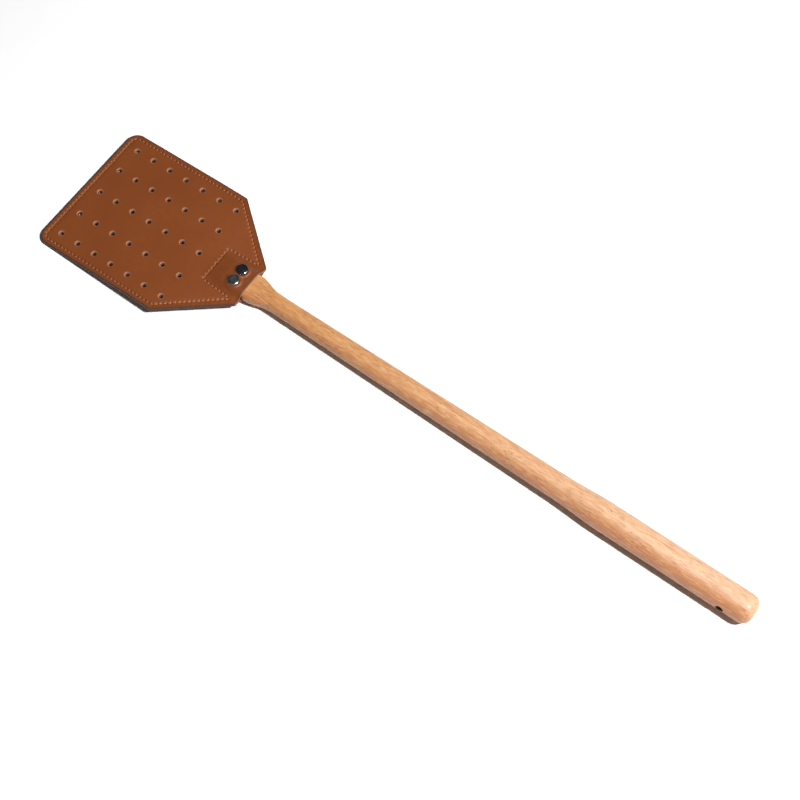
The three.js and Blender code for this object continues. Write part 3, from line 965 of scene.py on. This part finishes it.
def leather_material():
    n = Nodes("tan_leather")
    clouds = n.noise(n.stretched((28, 28, 28)), detail=3)
    mottle = n.noise(n.stretched((260, 260, 260)), detail=4, rough=0.6)
    pores = n.cells(n.stretched((1500, 1500, 1500)))
    fine = n.noise(n.stretched((2600, 2600, 2600)), detail=3)
    creases = n.noise(n.stretched((420, 620, 420)), detail=5, rough=0.65, distortion=0.6)

    # The hide's own colour, mottled, then painted shade along the seam and darker near the edge.
    tan = n.mix(n.spread(clouds, 0.35, 0.65), (0.158, 0.0370, 0.0050), (0.184, 0.0455, 0.0075))
    tan = n.mix(n.spread(mottle, 0.30, 0.70, 0, 0.55), tan, (0.136, 0.0305, 0.0040))
    tan = n.mix(n.spread(fine, 0.45, 0.75, 0, 0.22), tan, (0.205, 0.058, 0.0115))
    pull = n.attribute("pull")
    tan = n.mix(n.math("MULTIPLY", pull, 0.24), tan, (0.085, 0.021, 0.007))
    rub = n.attribute("rub")
    tan = n.mix(n.math("MULTIPLY", rub, 0.30), tan, (0.110, 0.030, 0.010))
    # Cut fibres at the holes' mouths, the dark painted edge, and painted shade on the holes' walls.
    fibres = n.noise(n.stretched((3200, 3200, 1200)), detail=2)
    raw_tan = n.mix(fibres, (0.25, 0.115, 0.060), (0.40, 0.215, 0.130))
    colour = n.mix(n.attribute("raw"), tan, raw_tan)
    edge_paint_and_hole_shade = n.attribute("edge_paint_and_hole_shade")
    colour = n.mix(edge_paint_and_hole_shade, colour, (0.040, 0.012, 0.0045))

    rough = n.spread(mottle, 0.3, 0.7, 0.44, 0.58)
    rough = n.math("ADD", rough, n.spread(pores, 0.0, 0.6, 0.06, -0.02))
    rough = n.math("ADD", rough, n.math("MULTIPLY", n.attribute("raw"), 0.3))
    rough = n.math("ADD", rough, n.math("MULTIPLY", edge_paint_and_hole_shade, 0.12))
    skin = n.bump(n.spread(pores, 0.0, 0.45), 0.035 * MM, 0.55)
    skin = n.bump(creases, 0.10 * MM, 0.35, skin)
    skin = n.bump(fine, 0.02 * MM, 0.5, skin)
    return n.surface(Base_Color=colour, Roughness=rough, Normal=skin, IOR=1.45)


def beech_material():
    n = Nodes("oiled_beech")
    along = n.attribute("grain", "Vector")
    u, v, _ = n.add("ShaderNodeSeparateXYZ", {0: along}).outputs
    painted_light_to_grip = n.spread(u, 20 * MM, 330 * MM)

    bands = n.noise(n.stretched((5, 95, 60), (0.3, 0.1, 0.2)), detail=3, distortion=0.5)
    streaks = n.noise(n.stretched((22, 620, 620)), detail=4, rough=0.6)
    fibres = n.noise(n.stretched((90, 2600, 2600)), detail=2)
    patches = n.noise(n.stretched((42, 130, 130)), detail=3)
    fleck_place = n.stretched((170, 1050, 1050))
    wobble = n.noise(n.stretched((300, 300, 300)), detail=1)
    fleck_place = n.add(
        "ShaderNodeVectorMath", {0: fleck_place, 1: wobble}, operation="ADD"
    ).outputs[0]
    fleck_far = n.cells(fleck_place)
    fleck_size = n.spread(patches, 0.40, 0.72, 0.10, 0.34)
    fleck = n.spread(n.math("SUBTRACT", fleck_far, fleck_size), -0.10, 0.05, 1, 0)
    rain = n.noise(n.stretched((150, 900, 900), (0.2, 0.6, 0.1)), detail=2, rough=0.55)
    rays = n.cells(n.stretched((75, 520, 900), (0.7, 0.2, 0.4)))
    ray = n.spread(rays, 0.10, 0.26, 1, 0)

    # Painted light: the wood is painted paler towards the grip, where the key light is nearer.
    neck = n.mix(n.spread(bands, 0.34, 0.66), (0.42, 0.190, 0.056), (0.49, 0.236, 0.082))
    grip = n.mix(n.spread(bands, 0.34, 0.66), (0.44, 0.268, 0.158), (0.51, 0.325, 0.205))
    wood = n.mix(painted_light_to_grip, neck, grip)
    # Painted shade: the wood is painted darker and redder down its -v side, the side in shade.
    wood = n.mix(n.spread(v, -1.5 * MM, -8 * MM, 0, 0.88), wood, (0.36, 0.125, 0.040))
    # Growth streaks, pale fibres, darker and lighter short streaks, rays and dark flecks.
    wood = n.mix(n.spread(streaks, 0.42, 0.74, 0, 0.40), wood, (0.31, 0.118, 0.042))
    wood = n.mix(n.spread(fibres, 0.5, 0.8, 0, 0.25), wood, (0.56, 0.34, 0.19))
    wood = n.mix(n.spread(rain, 0.50, 0.70, 0, 0.62), wood, (0.34, 0.132, 0.050))
    wood = n.mix(n.spread(rain, 0.48, 0.30, 0, 0.45), wood, (0.62, 0.37, 0.19))
    wood = n.mix(n.math("MULTIPLY", ray, 0.30), wood, (0.36, 0.140, 0.056))
    wood = n.mix(n.math("MULTIPLY", fleck, 0.72), wood, (0.16, 0.054, 0.021))
    # Painted shade: the hanging hole's wall is darkened nearly to black.
    wood = n.mix(n.attribute("bore"), wood, (0.045, 0.018, 0.008))

    rough = n.spread(streaks, 0.3, 0.7, 0.42, 0.54)
    rough = n.math("ADD", rough, n.math("MULTIPLY", fleck, 0.12))
    skin = n.bump(fibres, 0.030 * MM, 0.45)
    skin = n.bump(fleck, 0.05 * MM, -0.35, skin)
    return n.surface(Base_Color=wood, Roughness=rough, Normal=skin, IOR=1.48)


def thread_material():
    n = Nodes("tan_thread")
    twist = n.attribute("twist")
    ply = n.spread(n.math("SINE", twist), -1, 1)
    fuzz = n.noise(n.stretched((5200, 5200, 5200)), detail=2)
    colour = n.mix(ply, (0.23, 0.064, 0.011), (0.38, 0.138, 0.030))
    colour = n.mix(n.spread(fuzz, 0.4, 0.8, 0, 0.35), colour, (0.46, 0.180, 0.050))
    skin = n.bump(ply, 0.09 * MM, 0.8)
    skin = n.bump(fuzz, 0.03 * MM, 0.5, skin)
    rough = n.spread(fuzz, 0.3, 0.7, 0.82, 0.95)
    return n.surface(Base_Color=colour, Roughness=rough, Normal=skin, IOR=1.3)


def gunmetal_material(name, dark, light):
    n = Nodes(name)
    smoke = n.noise(n.stretched((420, 420, 420)), detail=4)
    scratches = n.noise(n.stretched((900, 5200, 5200)), detail=2, distortion=0.3)
    colour = n.mix(n.spread(smoke, 0.35, 0.65), dark, light)
    # Painted reflection: the cap is darkened round its shoulder.
    colour = n.mix(n.math("MULTIPLY", n.attribute("shoulder"), 0.75), colour, (0.05, 0.045, 0.045))
    rough = n.spread(smoke, 0.3, 0.7, 0.17, 0.27)
    rough = n.math("ADD", rough, n.spread(scratches, 0.55, 0.8, 0, 0.12))
    skin = n.bump(scratches, 0.006 * MM, 0.4)
    return n.surface(Base_Color=colour, Roughness=rough, Normal=skin, Metallic=1.0)


def dress(piece, material, node):
    """Gives the piece its material, and hides the CAD node that it stands for."""
    piece.data.materials.clear()
    piece.data.materials.append(material)
    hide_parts(node)


# ---- The swatter ---------------------------------------------------------------------------


def flex_with_head(piece):
    """Bakes the piece's placement into its mesh."""
    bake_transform(piece)


def build_swatter():
    leather, beech, thread = leather_material(), beech_material(), thread_material()
    # Painted reflections: two copies of one gunmetal, a dark blue one and a pale grey one, for the two
    # caps.
    dark_reflection_metal = gunmetal_material("gunmetal_painted_dark_reflection", (0.115, 0.125, 0.155), (0.19, 0.20, 0.23))
    pale_reflection_metal = gunmetal_material("gunmetal_painted_pale_reflection", (0.34, 0.37, 0.36), (0.50, 0.52, 0.50))
    dress(make_handle(), beech, "handle")
    for side, face in ((1, "front"), (-1, "back")):
        panel = leather_panel(f"{face}_leather", side)
        dress(panel, leather, f"{face}_leather_panel")
        flex_with_head(panel)
        stitches = seam_thread(f"{face}_stitches", side)
        dress(stitches, thread, f"{face}_seam_thread")
        flex_with_head(stitches)
        for letter, metal, place in zip("ab", (pale_reflection_metal, dark_reflection_metal), rivet_places()):
            rivet = make_rivet(f"rivet_{face}_{letter}", side, place)
            dress(rivet, metal, f"rivet_{face}_cap_{letter}")


# ---- Camera, light and floor ---------------------------------------------------------------

CAMERA_ELEVATION = math.radians(65.62)
CAMERA_HEADING = math.radians(-35.70)  # of the view, from +Y towards +X
CAMERA_DISTANCE = 1.0088
CAMERA_LENS = 73.125
CAMERA_TARGET = Vector((0.0047, -0.0057, 0))


def make_camera():
    camera = bpy.data.objects.new("camera", bpy.data.cameras.new("camera"))
    bpy.context.scene.collection.objects.link(camera)
    flat = math.cos(CAMERA_ELEVATION)
    forward = Vector(
        (
            flat * math.sin(CAMERA_HEADING),
            flat * math.cos(CAMERA_HEADING),
            -math.sin(CAMERA_ELEVATION),
        )
    )
    camera.location = CAMERA_TARGET - forward * CAMERA_DISTANCE
    camera.rotation_euler = forward.to_track_quat("-Z", "Y").to_euler()
    camera.data.lens = CAMERA_LENS
    camera.data.sensor_width = 36
    camera.data.clip_start = 0.01
    bpy.context.scene.camera = camera


FLOOR_HALF = 6
FLOOR_GLOW = 0.75  # keeps the floor pale far from the key light
FLOOR_GLOW_START = 0.7
FLOOR_GLOW_FULL = 2.4


def make_floor():
    mesh = bpy.data.meshes.new("floor")
    corners = [(FLOOR_HALF * x, FLOOR_HALF * y, 0) for x, y in ((-1, -1), (1, -1), (1, 1), (-1, 1))]
    mesh.from_pydata(corners, [], [(0, 1, 2, 3)])
    floor = bpy.data.objects.new("floor", mesh)
    bpy.context.scene.collection.objects.link(floor)
    n = Nodes("white_paper")
    place = n.add("ShaderNodeTexCoord").outputs["Object"]
    paper = n.noise(place, scale=40, detail=2)
    colour = n.mix(paper, (0.80, 0.80, 0.80), (0.82, 0.82, 0.82))
    away = n.add("ShaderNodeVectorMath", {0: place}, operation="LENGTH").outputs["Value"]
    glow = n.spread(away, FLOOR_GLOW_START, FLOOR_GLOW_FULL, 0, FLOOR_GLOW)
    surface = n.surface(
        Base_Color=colour,
        Roughness=0.9,
        Specular_IOR_Level=0.1,
        Emission_Color=(1, 1, 1),
        Emission_Strength=glow,
    )
    mesh.materials.append(surface)


KEY_TOWARD = (0.50, 0.05, 0.85)
KEY_DISTANCE = 1.5
KEY_SIZE = 0.16
KEY_POWER = 43.5


def make_key_light():
    light = bpy.data.lights.new("key", "AREA")
    light.shape = "DISK"
    light.size = KEY_SIZE
    light.energy = KEY_POWER
    lamp = bpy.data.objects.new("key", light)
    bpy.context.scene.collection.objects.link(lamp)
    direction = Vector(KEY_TOWARD).normalized()
    lamp.location = direction * KEY_DISTANCE
    lamp.rotation_euler = (-direction).to_track_quat("-Z", "Y").to_euler()


SKY_LIGHT = 0.095
HORIZON_LIGHT = 0.6
HORIZON_HEIGHT = 0.25  # sine of the elevation where the pale horizon has faded into the sky


def make_sky():
    """A dim, even sky that turns pale towards the horizon."""
    world = bpy.data.worlds.new("studio")
    bpy.context.scene.world = world
    world.use_nodes = True
    nodes, links = world.node_tree.nodes, world.node_tree.links
    direction = nodes.new("ShaderNodeTexCoord").outputs["Generated"]
    split = nodes.new("ShaderNodeSeparateXYZ")
    links.new(direction, split.inputs[0])
    fade = nodes.new("ShaderNodeMapRange")
    fade.inputs["From Max"].default_value = HORIZON_HEIGHT
    fade.inputs["To Min"].default_value = HORIZON_LIGHT
    fade.inputs["To Max"].default_value = SKY_LIGHT
    links.new(split.outputs["Z"], fade.inputs["Value"])
    background = nodes["Background"]
    background.inputs["Color"].default_value = (1, 1, 1, 1)
    links.new(fade.outputs[0], background.inputs["Strength"])


make_camera()
make_sky()
make_key_light()
make_floor()
build_swatter()
bpy.context.scene.view_settings.view_transform = "Standard"
